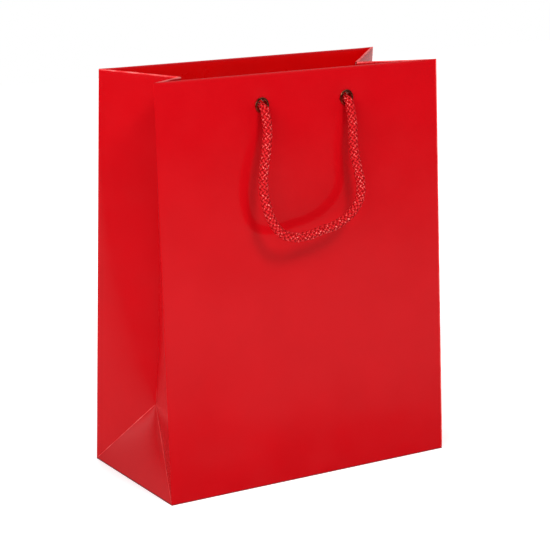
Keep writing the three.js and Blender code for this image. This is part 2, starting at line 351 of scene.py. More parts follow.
@dataclass(frozen=True)
class RopeYarn:
    """Shiny red filament yarn, with painted light and shade on its strands."""

    name: str = "red_filament_yarn"
    # The darkest colour is partly darker fibre and partly painted shade between strands; the glint colour is
    # a painted highlight.
    dark_fibre_and_shade: tuple[float, float, float] = (0.24, 0.001, 0.002)
    bright: tuple[float, float, float] = (0.58, 0.012, 0.016)
    glint: tuple[float, float, float] = (0.98, 0.30, 0.27)
    roughness: float = 0.42
    comb: tuple[float, float, float] = (0.22, 1.6, 1)
    fibre_scale: float = 3.0
    strand_light_and_shade_share: float = 0.38

    def material(self) -> bpy.types.Material:
        """Makes the material: fibres that run along each strand, each strand painted lighter on its crown and
        darker at its sides, with painted glints on a few of them.
        """
        material, nodes, shader = new_material(self.name)
        strand = nodes.node("ShaderNodeTexCoord").outputs["UV"]
        fibre = nodes.noise(nodes.stretched(strand, self.comb), self.fibre_scale, 2)
        split = nodes.node("ShaderNodeSeparateXYZ")
        nodes.join(strand, split.inputs["Vector"])
        dark, full = (0.0, 0.0, 0.0), (1.0, 1.0, 1.0)
        # Painted light and shade: lighter across each strand's crown, darker at its sides where the strands
        # meet.
        strand_light_and_shade = nodes.ramp(split.outputs["Y"], [(0.06, dark), (0.25, full), (0.44, dark)])
        both = nodes.mix(self.strand_light_and_shade_share, fibre, strand_light_and_shade)
        stops = [(0.36, self.dark_fibre_and_shade), (0.56, self.bright), (0.68, self.bright), (0.76, self.glint)]
        nodes.join(nodes.ramp(both, stops), shader.inputs["Base Color"])
        nodes.relief(shader, fibre, 0.5, 0.0002)
        shader.inputs["Specular IOR Level"].default_value = 0.08
        shader.inputs["Roughness"].default_value = self.roughness
        return material


@dataclass
class Finishes:
    """Every finish on the bag, made once."""

    red: bpy.types.Material = field(init=False)
    crease: bpy.types.Material = field(init=False)
    hem: bpy.types.Material = field(init=False)
    rim: bpy.types.Material = field(init=False)
    inner: bpy.types.Material = field(init=False)
    board: bpy.types.Material = field(init=False)
    brass: bpy.types.Material = field(init=False)
    yarn: bpy.types.Material = field(init=False)

    def __post_init__(self) -> None:
        """Makes the materials."""
        inner = PlainPaper("inner_paper", (0.80, 0.77, 0.73), (0.70, 0.66, 0.62), (0.55, 0.42, 0.38))
        board = PlainPaper("grey_board", (0.66, 0.60, 0.52), (0.54, 0.48, 0.41), (0.30, 0.24, 0.19))
        self.red = GlossPaper().material()
        self.crease = CreasedPaper().material()
        # Painted light: the turned-in hem is a brighter, deeper red copy of the film, standing in for light
        # that reaches it inside the mouth.
        self.hem = GlossPaper(
            "red_hem_paper_painted_brighter", (0.60, 0.0003, 0.0008), (0.64, 0.0005, 0.0011), roughness=0.3
        ).material()
        # Painted shade: the bottom rim's near-black red stands in for the shade along the bottom crease,
        # where the bag meets the floor.
        self.rim = GlossPaper(
            "red_rim_paper_painted_shade", (0.07, 0.004, 0.008), (0.13, 0.006, 0.010), roughness=0.45
        ).material()
        self.inner = inner.material()
        self.board = board.material()
        self.brass = EyeletBrass().material()
        self.yarn = RopeYarn().material()

    @property
    def paper(self) -> list[bpy.types.Material]:
        """The finishes of a folded sheet: its film, its inner side, its creases and its hem, which is a copy
        of the film painted brighter to stand in for light.
        """
        return [self.red, self.inner, self.crease, self.hem]


# ---------------------------------------------------------------- meshes

FILM, BARE, CREASE, HEM = 0, 1, 2, 3
BEAD_STEPS, BEAD_SIDES, BEAD_TIP = 40, 8, 0.35
FOLD_STEPS, HEM_STEPS = 8, 10


@dataclass
class Shell:
    """Gathers the corners and faces of one piece, in millimetres, and makes its object."""

    corners: list[Vector] = field(default_factory=list)
    faces: list[tuple[int, ...]] = field(default_factory=list)
    finishes: list[int] = field(default_factory=list)
    strand_places: list[tuple[float, float]] = field(default_factory=list)

    def add(self, points: list[Vector]) -> int:
        """Adds corners and returns the number of the first."""
        start = len(self.corners)
        self.corners.extend(points)
        return start

    def face(self, numbers: tuple[int, ...], finish: int = FILM) -> None:
        """Adds a face over corners that are already there."""
        self.faces.append(numbers)
        self.finishes.append(finish)

    def rings(self, rings: list[list[Vector]], finishes: list[int], capped: bool = True) -> None:
        """Skins closed rings of equal length, one after another.

        Args:
            rings: The rings in order.
            finishes: The finish of each segment round a ring.
            capped: Whether the first and last rings are filled.
        """
        count = len(rings[0])
        starts = [self.add(ring) for ring in rings]
        for here, there in zip(starts, starts[1:]):
            for k in range(count):
                after = (k + 1) % count
                self.face((here + k, here + after, there + after, there + k), finishes[k])
        if capped:
            for start in (starts[0], starts[-1]):
                self.face(tuple(start + k for k in range(count)), finishes[0])

    def bead(self, start: Vector, end: Vector, radius: float, finish: int = CREASE) -> None:
        """Adds a thin rounded bead of folded paper along a crease.

        Args:
            start: One end of the crease.
            end: Its other end.
            radius: The bead's radius.
            finish: Its finish.
        """
        along = (end - start).normalized()
        across = along.orthogonal().normalized()
        up = along.cross(across)
        length = (end - start).length
        rings = []
        for step in range(BEAD_STEPS + 1):
            far = length * step / BEAD_STEPS
            near_end = min(far, length - far)
            width = radius * (BEAD_TIP if near_end == 0 else 1.0)
            middle = start + along * far
            ring = []
            for k in range(BEAD_SIDES):
                turn = k * math.tau / BEAD_SIDES
                ring.append(middle + (across * math.cos(turn) + up * math.sin(turn)) * width)
            rings.append(ring)
        self.rings(rings, [finish] * BEAD_SIDES)

    def make(self, name: str, materials: list[bpy.types.Material], crisp: float = 35) -> bpy.types.Object:
        """Makes the object.

        Args:
            name: The piece's name.
            materials: The materials that the finish numbers stand for.
            crisp: Edges sharper than this many degrees stay crisp.

        Returns:
            The object, in metres.
        """
        mesh = bpy.data.meshes.new(name)
        mesh.from_pydata([corner * MM for corner in self.corners], [], self.faces)
        for material in materials:
            mesh.materials.append(material)
        mesh.polygons.foreach_set("material_index", self.finishes)
        if self.strand_places:
            layer = mesh.uv_layers.new(name="strand")
            flat = [value for loop in mesh.loops for value in self.strand_places[loop.vertex_index]]
            layer.data.foreach_set("uv", flat)
        work = bmesh.new()
        work.from_mesh(mesh)
        bmesh.ops.remove_doubles(work, verts=work.verts, dist=1e-7)
        bmesh.ops.recalc_face_normals(work, faces=work.faces)
        work.to_mesh(mesh)
        work.free()
        mesh.shade_smooth()
        mesh.set_sharp_from_angle(angle=math.radians(crisp))
        made = bpy.data.objects.new(name, mesh)
        bpy.context.scene.collection.objects.link(made)
        return made


def install(piece: bpy.types.Object, body: str, slot: str, *nodes: str) -> None:
    """Puts a piece on its body.

    Args:
        piece: The piece.
        body: The CAD body that it rides on.
        slot: Not used.
        *nodes: The CAD nodes that it stands for.
    """
    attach(piece, body)
    if nodes:
        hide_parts(*nodes)
    log.info("%s rides on %s, %d faces", piece.name, body, len(piece.data.polygons))


@dataclass
class Turnover:
    """How the mouth edge of a sheet is turned over to the inside."""

    depth: float
    radius_left: float
    radius_middle: float
    radius_right: float
    mitre_left: float = 0.0
    mitre_right: float = 0.0
    ease: float = 12.0

    def radius(self, from_left: float, from_right: float) -> float:
        """Gives the fold's radius at distances from the sheet's two sides."""
        left = self.radius_left + (self.radius_middle - self.radius_left) * smooth(from_left / self.ease)
        right = self.radius_right + (self.radius_middle - self.radius_right) * smooth(from_right / self.ease)
        return min(left, right) if self.radius_middle >= self.radius_right else max(left, right)


@dataclass
class FoldedSheet:
    """A sheet of the bag's paper over a surface, with its mouth edge turned over or plain."""

    surface: Callable[[float, float], Vector]
    heart: Vector
    columns: int = 24
    rows: int = 48
    wave: float = 0.12
    seed: float = 0.0
    turnover: Turnover | None = None
    fold_finish: int = FILM
    hem_finish: int = FILM
    dimples: list[Vector] = field(default_factory=list)

    def inward(self, across: float, up: float) -> Vector:
        """Gives the sheet's unit direction towards the inside of the bag.

        Args:
            across: The share of the sheet's width.
            up: The share of its height.

        Returns:
            The direction that faces the bag's heart.
        """
        near = 0.004
        a, b = max(across - near, 0), min(across + near, 1)
        c, d = min(max(up - near, 0.02), 0.97), max(min(up + near, 0.98), 0.03)
        level = min(max(up, 0.02), 0.98)
        wide = self.surface(b, level) - self.surface(a, level)
        tall = self.surface(across, d) - self.surface(across, c)
        way = wide.cross(tall).normalized()
        return way if way.dot(self.heart - self.surface(across, level)) > 0 else -way

    def sag(self, across: float, up: float, point: Vector) -> float:
        """Gives how far the sheet bows inward at a point.

        Args:
            across: The share of the sheet's width.
            up: The share of its height.
            point: The flat point.

        Returns:
            Millimetres inward, nothing at the sheet's sides.
        """
        still = smooth(min(across, 1 - across) * 6) * smooth(min(up, 1 - up) * 7)
        drift = noise.noise((point + Vector((self.seed, 0, 0))) / 70)
        drift += 0.25 * noise.noise((point + Vector((0, self.seed, 0))) / 28)
        pressed = sum(0.22 * math.exp(-(((point - dimple).length / 8) ** 2)) for dimple in self.dimples)
        return self.wave * drift * still + pressed

    def section(self, across: float) -> tuple[list[Vector], list[Vector]]:
        """Gives one column of the sheet.

        Args:
            across: The share of the sheet's width.

        Returns:
            The points of the film side and of the bare side, from the bottom up and over.
        """
        foot, head = self.surface(across, 0), self.surface(across, 1)
        height = (head - foot).length
        up = (head - self.surface(across, 0.9)).normalized()
        side_to_side = self.surface(1, 1) - self.surface(0, 1)
        fold = self.turnover
        radius = 0.0
        top = 1.0
        if fold:
            radius = fold.radius(across * side_to_side.length, (1 - across) * side_to_side.length)
            top = 1 - (radius + PAPER / 2) / height
        middles: list[Vector] = []
        ways: list[Vector] = []
        for row in range(self.rows + 1):
            share = top * row / self.rows
            flat = self.surface(across, share)
            inward = self.inward(across, share)
            middles.append(flat + inward * self.sag(across, share, flat))
            ways.append(-inward)
        if fold:
            self._turn_over(across, radius, height, up, middles, ways)
        film = [middle + way * (PAPER / 2) for middle, way in zip(middles, ways)]
        bare = [middle - way * (PAPER / 2) for middle, way in zip(middles, ways)]
        return film, bare

    def _turn_over(
        self,
        across: float,
        radius: float,
        height: float,
        up: Vector,
        middles: list[Vector],
        ways: list[Vector],
    ) -> None:
        """Carries a column on over the fold and down the inside.

        Args:
            across: The column's share of the sheet's width.
            radius: The fold's radius.
            height: The column's height.
            up: The column's direction at the mouth.
            middles: The column's points so far, which gain the new ones.
            ways: The film's directions so far, which gain the new ones.
        """
        fold = self.turnover
        inward = self.inward(across, 1)
        centre = middles[-1] + inward * radius
        for step in range(1, FOLD_STEPS):
            turn = math.pi * step / FOLD_STEPS
            way = -inward * math.cos(turn) + up * math.sin(turn)
            middles.append(centre + way * radius)
            ways.append(way)
        top = 1 - (radius + PAPER / 2) / height
        for step in range(HEM_STEPS + 1):
            share = top - (fold.depth - radius) / height * step / HEM_STEPS
            flat = self.surface(across, share)
            here = self.inward(across, share)
            middles.append(flat + here * (2 * radius + self.sag(across, share, flat)))
            ways.append(here)
        side_to_side = self.surface(1, 1) - self.surface(0, 1)
        width = side_to_side.length
        for k in range(self.rows + 1, len(middles)):
            off = max((middles[k] - middles[self.rows]).dot(inward), 0)
            off = min(off, 2 * radius)
            short_left = max(off * fold.mitre_left - across * width, 0)
            short_right = max(off * fold.mitre_right - (1 - across) * width, 0)
            middles[k] = middles[k] + side_to_side / width * (short_left - short_right)

    def into(self, shell: Shell) -> None:
        """Adds the sheet to a shell."""
        rings = []
        count = 0
        for column in range(self.columns + 1):
            film, bare = self.section(column / self.columns)
            rings.append(film + bare[::-1])
            count = len(film)
        finishes = []
        for k in range(2 * count):
            if k >= count - 1:
                finishes.append(BARE)
            elif self.turnover is None or k < self.rows:
                finishes.append(FILM)
            else:
                finishes.append(self.fold_finish if k < self.rows + FOLD_STEPS else self.hem_finish)
        self._skin(shell, rings, finishes, count)

    def _skin(self, shell: Shell, rings: list[list[Vector]], finishes: list[int], count: int) -> None:
        """Skins the columns and closes the two side edges with narrow faces."""
        start = len(shell.corners)
        shell.rings(rings, finishes, capped=False)
        last = start + (len(rings) - 1) * 2 * count
        for base in (start, last):
            for k in range(count - 1):
                opposite = 2 * count - 1 - k
                shell.face((base + k, base + k + 1, base + opposite - 1, base + opposite), FILM)


# ---------------------------------------------------------------- rope


@dataclass
class Braid:
    """A round braid of flat strands laid along a line."""

    radius: float = 3.05
    strands: int = 6
    lead: float = 20.0
    step: float = 0.8
    strand_width: float = 2.0
    strand_thickness: float = 1.2
    lift: float = 0.46
    narrows: list[Vector] = field(default_factory=list)
    narrowing: float = 0.2
    narrow_reach: float = 3.6
    strand_sides: int = 6
    core_sides: int = 8

    def resample(self, points: list[Vector]) -> list[Vector]:
        """Spaces the points of a line evenly by the braid's step."""
        lengths = [0.0]
        for here, there in zip(points, points[1:]):
            lengths.append(lengths[-1] + (there - here).length)
        count = max(int(round(lengths[-1] / self.step)), 2)
        made = []
        at = 0
        for k in range(count + 1):
            far = lengths[-1] * k / count
            while at < len(points) - 2 and lengths[at + 1] < far:
                at += 1
            share = (far - lengths[at]) / max(lengths[at + 1] - lengths[at], 1e-9)
            made.append(points[at].lerp(points[at + 1], min(max(share, 0.0), 1.0)))
        return made

    def frames(self, line: list[Vector]) -> list[tuple[Vector, Vector, Vector, Vector]]:
        """Gives each point of a line with its direction and two cross directions that don't twist."""
        made = []
        across = Vector((0, 0, 0))
        for k, point in enumerate(line):
            ahead = line[min(k + 1, len(line) - 1)] - line[max(k - 1, 0)]
            ahead.normalize()
            if k == 0:
                across = ahead.orthogonal().normalized()
            across = (across - ahead * across.dot(ahead)).normalized()
            made.append((point, ahead, across, ahead.cross(across)))
        return made

    def girth(self, point: Vector) -> float:
        """Gives the rope's share of its full girth at a point: less where a bore squeezes it."""
        nearest = min(((point - narrow).length for narrow in self.narrows), default=1e3)
        return 1 - self.narrowing * math.exp(-((nearest / self.narrow_reach) ** 2))

    def into(self, shell: Shell, points: list[Vector]) -> None:
        """Adds the braid and its core to a shell.

        Args:
            shell: The shell.
            points: The rope's middle line.
        """
        placed = self.frames(self.resample(points))
        self._core(shell, placed)
        for hand in (1, -1):
            for number in range(self.strands):
                rings = []
                places = []
                for k, (point, ahead, across, up) in enumerate(placed):
                    wound = math.tau * k * self.step / self.lead
                    turn = number * math.tau / self.strands + hand * wound
                    weave = math.cos(self.strands * wound)
                    girth = self.girth(point)
                    middle_radius = (self.radius - self.strand_thickness / 2 - self.lift) * girth
                    out = across * math.cos(turn) + up * math.sin(turn)
                    round_way = -across * math.sin(turn) + up * math.cos(turn)
                    middle = point + out * (middle_radius + hand * weave * self.lift * girth)
                    slope = hand * math.tau * middle_radius / self.lead
                    along = (ahead + round_way * slope).normalized()
                    wide = out.cross(along).normalized()
                    ring = []
                    for side in range(self.strand_sides):
                        angle = side * math.tau / self.strand_sides
                        flat = wide * (math.cos(angle) * self.strand_width / 2 * girth)
                        thick = out * (math.sin(angle) * self.strand_thickness / 2)
                        ring.append(middle + flat + thick)
                        places.append((k * self.step * 1.25 + number * 7.3, side / self.strand_sides))
                    rings.append(ring)
                shell.strand_places.extend(places)
                shell.rings(rings, [FILM] * self.strand_sides)

    def _core(self, shell: Shell, placed: list[tuple[Vector, Vector, Vector, Vector]]) -> None:
        """Adds the core that fills the middle of the braid."""
        radius = self.radius - self.strand_thickness - self.lift * 1.5
        rings = []
        for k, (point, _ahead, across, up) in enumerate(placed):
            ring = []
            for side in range(self.core_sides):
                turn = side * math.tau / self.core_sides
                way = across * math.cos(turn) + up * math.sin(turn)
                ring.append(point + way * radius * self.girth(point))
                shell.strand_places.append((k * self.step, side / self.core_sides))
            rings.append(ring)
        shell.rings(rings, [FILM] * self.core_sides)


def curve_through(points: list[Vector], steps: int = 12) -> list[Vector]:
    """Runs a smooth curve through points.

    Args:
        points: The points, in order.
        steps: How many pieces each span has.

    Returns:
        The curve's points.
    """
    made = []
    for k in range(len(points) - 1):
        a = points[max(k - 1, 0)]
        b, c = points[k], points[k + 1]
        d = points[min(k + 2, len(points) - 1)]
        for step in range(steps):
            t = step / steps
            bend = (c - a) * t + (2 * a - 5 * b + 4 * c - d) * t**2 + (3 * b - a - 3 * c + d) * t**3
            made.append(b + bend / 2)
    made.append(points[-1])
    return made


# Middle of a handle's rope outside the bag: right of the eyelets' middle, out from the middle of
# the sheet, and up from the eyelets, in metres.
LOOP_ROUTE = [
    (-0.0303, 0.0044, 0.0),
    (-0.0304, 0.0055, -0.0057),
    (-0.0309, 0.0068, -0.0132),
    (-0.0324, 0.0082, -0.0217),
    (-0.0344, 0.0095, -0.0292),
    (-0.0362, 0.0103, -0.0362),
    (-0.0374, 0.0110, -0.0432),
    (-0.0378, 0.0120, -0.0507),
    (-0.0372, 0.0130, -0.0577),
    (-0.0356, 0.0140, -0.0644),
    (-0.0328, 0.0150, -0.0709),
    (-0.0278, 0.0160, -0.0764),
    (-0.0203, 0.0165, -0.0792),
    (-0.0113, 0.0165, -0.0792),
    (-0.0014, 0.0165, -0.0772),
    (0.0077, 0.0160, -0.0757),
    (0.0160, 0.0155, -0.0729),
    (0.0228, 0.0150, -0.0685),
    (0.0282, 0.0140, -0.0630),
    (0.0310, 0.0130, -0.0568),
    (0.0315, 0.0120, -0.0508),
    (0.0306, 0.0110, -0.0442),
    (0.0296, 0.0100, -0.0375),
    (0.0290, 0.0090, -0.0308),
    (0.0293, 0.0080, -0.0232),
    (0.0300, 0.0069, -0.0152),
    (0.0303, 0.0057, -0.0072),
    (0.0303, 0.0044, 0.0),
]


@dataclass
class RopeHandle:
    """One rope handle: its loop, its two knots and their tails."""

    face: Face
    finishes: Finishes
    diameter: float = 6.0
    knot_inward: float = 9.25
    knot_drop: float = 3.5
    tail_length: float = 11.5
    knot_size: float = 1.25
    knot_squeeze: float = 0.8
    knot_depth: float = 1.7
    knot_steps: int = 96
    lip: tuple[float, float] = (-0.4, -0.8)
    bend_from: tuple[float, float] = (0.4, 0.7)
    bend_to: tuple[float, float] = (4.5, 7.8)

    def eyelet_right(self, end: float) -> float:
        """Gives how far right of the panel's middle the eyelet at one end of the loop is."""
        return EYELET_SHIFT + end * EYELET_SPACING / 2

    def place(self, right: float, inward: float, up: float) -> Vector:
        """Gives a point near the eyelets: up is measured from their middle."""
        return on_panel(self.face, right, inward, EYELET_HEIGHT + up)

    def inside(self, end: float) -> list[Vector]:
        """Gives the rope's middle from its knot and over the eyelet's lower lip."""
        right = self.eyelet_right(end)
        knot = self.knot_inward
        drawn_in = [(knot, -self.knot_drop), (knot - 2.0, -2.4), (knot - 4.6, -1.1), (2.2, -0.8)]
        let_out = [self.lip, (-2.4, -1.7), (-4.0, -4.3)]
        return [self.place(right, inward, up) for inward, up in (*drawn_in, *let_out)]

    def route(self) -> list[Vector]:
        """Gives the whole rope's middle line, from knot to knot, pulled down over each eyelet's lip."""
        loop = [
            self.place(EYELET_SHIFT + right / MM, -out / MM, up / MM)
            for right, out, up in LOOP_ROUTE[2:-2]
        ]
        return curve_through([*self.inside(-1), *loop, *reversed(self.inside(1))])

    def build(self) -> None:
        line = self.route()
        shell = Shell()
        bores = [self.place(self.eyelet_right(end), *self.lip) for end in (-1.0, 1.0)]
        Braid(radius=self.diameter / 2 + 0.1, narrows=bores).into(shell, line)
        rope = shell.make(f"{self.face.value}_rope", [self.finishes.yarn], crisp=80)
        knots = [self._knot(end) for end in (-1.0, 1.0)]
        panel, handle = f"{self.face.value}_panel", f"{self.face.value}_handle"
        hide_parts(handle)
        self.place(0, -self.bend_from[0], -self.bend_from[1]) * MM
        self.place(0, -self.bend_to[0], -self.bend_to[1]) * MM
        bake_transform(rope)
        self.place(self.eyelet_right(-1), -1.0, 0) * MM

    def _knot(self, end: float) -> bpy.types.Object:
        """Builds one knot, a trefoil of rope drawn up tight, with the tail that hangs from it."""
        side = Side.LEFT if end < 0 else Side.RIGHT
        right = self.eyelet_right(end)
        points = []
        for k in range(self.knot_steps + 1):
            turn = math.tau * k / self.knot_steps
            spread = self.knot_size * (math.sin(turn) + 2 * math.sin(2 * turn))
            rise = self.knot_size * (math.cos(turn) - 2 * math.cos(2 * turn))
            inward = self.knot_inward - self.knot_depth * math.sin(3 * turn)
            up = rise * self.knot_squeeze - self.knot_drop
            points.append(self.place(right + spread * self.knot_squeeze, inward, up))
        shell = Shell()
        tight = Braid(radius=2.25, lead=14.0, strand_width=1.5, strand_thickness=0.8, lift=0.3)
        tight.into(shell, points)
        top, foot = -self.knot_drop - 2.0, -self.knot_drop - self.tail_length
        tail = [
            self.place(right, self.knot_inward, top),
            self.place(right + 0.2, self.knot_inward + 0.3, (top + foot) / 2),
            self.place(right + 0.9, self.knot_inward + 0.2, foot),
        ]
        Braid(radius=self.diameter / 2 - 0.1).into(shell, curve_through(tail))
        name = f"{self.face.value}_{side.value}"
        knot = shell.make(f"{name}_rope_knot", [self.finishes.yarn], crisp=80)
        install(knot, f"{self.face.value}_panel", "rope", f"{name}_knot")
        return knot


# ---------------------------------------------------------------- eyelets


@dataclass
class EyeletPair:
    """The two eyelets and washers of one panel."""

    face: Face
    finishes: Finishes
    bore: float = 3.3
    wall: float = 0.35
    flange: float = 4.75
    flange_face: float = 1.0
    washer: float = 5.1
    washer_near: float = 2.3
    washer_far: float = 2.8
    roll_far: float = 3.45
    segments: int = 56

    def build(self) -> None:
        """Builds both eyelets and both washers."""
        for side in Side:
            right = EYELET_SHIFT + side.sign * EYELET_SPACING / 2
            name = f"{self.face.value}_{side.value}"
            body = f"{self.face.value}_panel"
            eyelet = self._lathe(f"{name}_brass_eyelet", right, self._eyelet_profile())
            install(eyelet, body, "eyelet_metal", f"{name}_eyelet")
            washer = self._lathe(f"{name}_brass_washer", right, self._washer_profile())
            install(washer, body, "eyelet_metal", f"{name}_washer")

    def _eyelet_profile(self) -> list[tuple[float, float]]:
        """Gives the eyelet's outline as radius and depth inward: domed flange, barrel and rolled end."""
        outline = []
        bore, top = self.bore, -self.flange_face
        for step in range(7):
            turn = math.pi * step / 12
            outline.append((bore + 0.7 * (1 - math.cos(turn)) * 0.9, top + 0.7 * (1 - math.sin(turn))))
        for step in range(9):
            turn = math.pi * (0.5 - step / 12)
            outline.append((self.flange - 0.45 + 0.45 * math.cos(turn), top + 0.4 * (1 - math.sin(turn))))
        outline.append((self.flange - 0.4, -PAPER / 2 - 0.02))
        outline.append((bore + self.wall, -PAPER / 2 - 0.02))
        outline.append((bore + self.wall, self.washer_far))
        for step in range(8):
            turn = math.pi * step / 8
            middle = bore + self.wall / 2 + 0.55
            outline.append((middle + 0.5 * math.cos(turn - math.pi), self.washer_far + 0.35 * math.sin(turn)))
        outline.append((4.55, self.washer_far + 0.1))
        outline.append((4.45, self.roll_far - 0.1))
        outline.append((4.0, self.roll_far))
        outline.append((bore + 0.25, self.roll_far - 0.1))
        outline.append((bore, self.washer_far + 0.2))
        return outline

    def _washer_profile(self) -> list[tuple[float, float]]:
        """Gives the washer's outline as radius and depth inward, with rounded edges and a slight dish."""
        inner, outer = self.bore + self.wall + 0.1, self.washer
        near, far = self.washer_near - 0.25, self.washer_far
        return [
            (inner, near + 0.1),
            (inner, far),
            (inner + 0.5, far + 0.02),
            (outer - 0.5, far - 0.06),
            (outer - 0.12, far - 0.16),
            (outer, near + 0.2),
            (outer - 0.1, near),
            (outer - 0.6, near + 0.05),
        ]

    def _lathe(self, name: str, right: float, outline: list[tuple[float, float]]) -> bpy.types.Object:
        """Turns an outline round an eyelet's axis.

        Args:
            name: The piece's name.
            right: The eyelet's place across the panel.
            outline: Pairs of radius and depth inward.

        Returns:
            The turned piece.
        """
        shell = Shell()
        rings = []
        for k in range(self.segments + 1):
            turn = math.tau * (k % self.segments) / self.segments
            ring = []
            for radius, inward in outline:
                across, up = radius * math.cos(turn), EYELET_HEIGHT + radius * math.sin(turn)
                ring.append(on_panel(self.face, right + across, inward, up))
            rings.append(ring)
        shell.rings(rings, [FILM] * len(outline), capped=False)
        return shell.make(name, [self.finishes.brass], crisp=40)


# ---------------------------------------------------------------- paper body


@dataclass
class Panel:
    """A broad panel with its turned-over mouth and two eyelet holes."""

    face: Face
    finishes: Finishes
    hole: float = 3.75
    crease_bead: float = 0.42
    punch_reach: tuple[float, float] = (-1.5, 4.0)
    punch_sides: int = 40

    def build(self) -> None:
        """Builds the panel and puts it on its body."""
        name = f"{self.face.value}_panel"
        shell = Shell()
        holes = [EYELET_SHIFT + side.sign * EYELET_SPACING / 2 for side in Side]
        sheet = FoldedSheet(
            surface=lambda across, up: on_panel(
                self.face, HALF_WIDTH * (2 * across - 1), 0, SHEET_HEIGHT * up
            ),
            heart=HEART,
            columns=84,
            rows=96,
            wave=0.16,
            seed=11.0 if self.face is Face.FRONT else 37.0,
            turnover=Turnover(HEM_DEPTH, 0.3, 0.9, 0.3, mitre_left=2.2, mitre_right=2.2),
            # The turned-in hem takes the brighter copy of the film, which is painted light.
            hem_finish=HEM,
            dimples=[on_panel(self.face, right, 0, EYELET_HEIGHT) for right in holes],
        )
        sheet.into(shell)
        for right in (-HALF_WIDTH, HALF_WIDTH):
            low, high = on_panel(self.face, right, 0, 0), on_panel(self.face, right, 0, SHEET_HEIGHT)
            shell.bead(low, high, self.crease_bead)
        piece = shell.make(f"{name}_sheet", self.finishes.paper)
        self._punch(piece, holes)
        install(piece, name, "red_paper", name)

    def _punch(self, piece: bpy.types.Object, holes: list[float]) -> None:
        """Punches the eyelet holes through the sheet and its turned-over part."""
        shell = Shell()
        for right in holes:
            rings = []
            for inward in self.punch_reach:
                ring = []
                for k in range(self.punch_sides):
                    turn = math.tau * k / self.punch_sides
                    across, up = self.hole * math.cos(turn), self.hole * math.sin(turn)
                    ring.append(on_panel(self.face, right + across, inward, EYELET_HEIGHT + up))
                rings.append(ring)
            shell.rings(rings, [FILM] * self.punch_sides)
        punch = shell.make("eyelet_punch", [self.finishes.inner])
        cut = piece.modifiers.new("eyelet_holes", "BOOLEAN")
        cut.operation = "DIFFERENCE"
        cut.solver = "EXACT"
        cut.object = punch
        bpy.context.view_layer.update()
        graph = bpy.context.evaluated_depsgraph_get()
        done = bpy.data.meshes.new_from_object(piece.evaluated_get(graph))
        piece.modifiers.clear()
        piece.data = done
        bpy.data.objects.remove(punch)


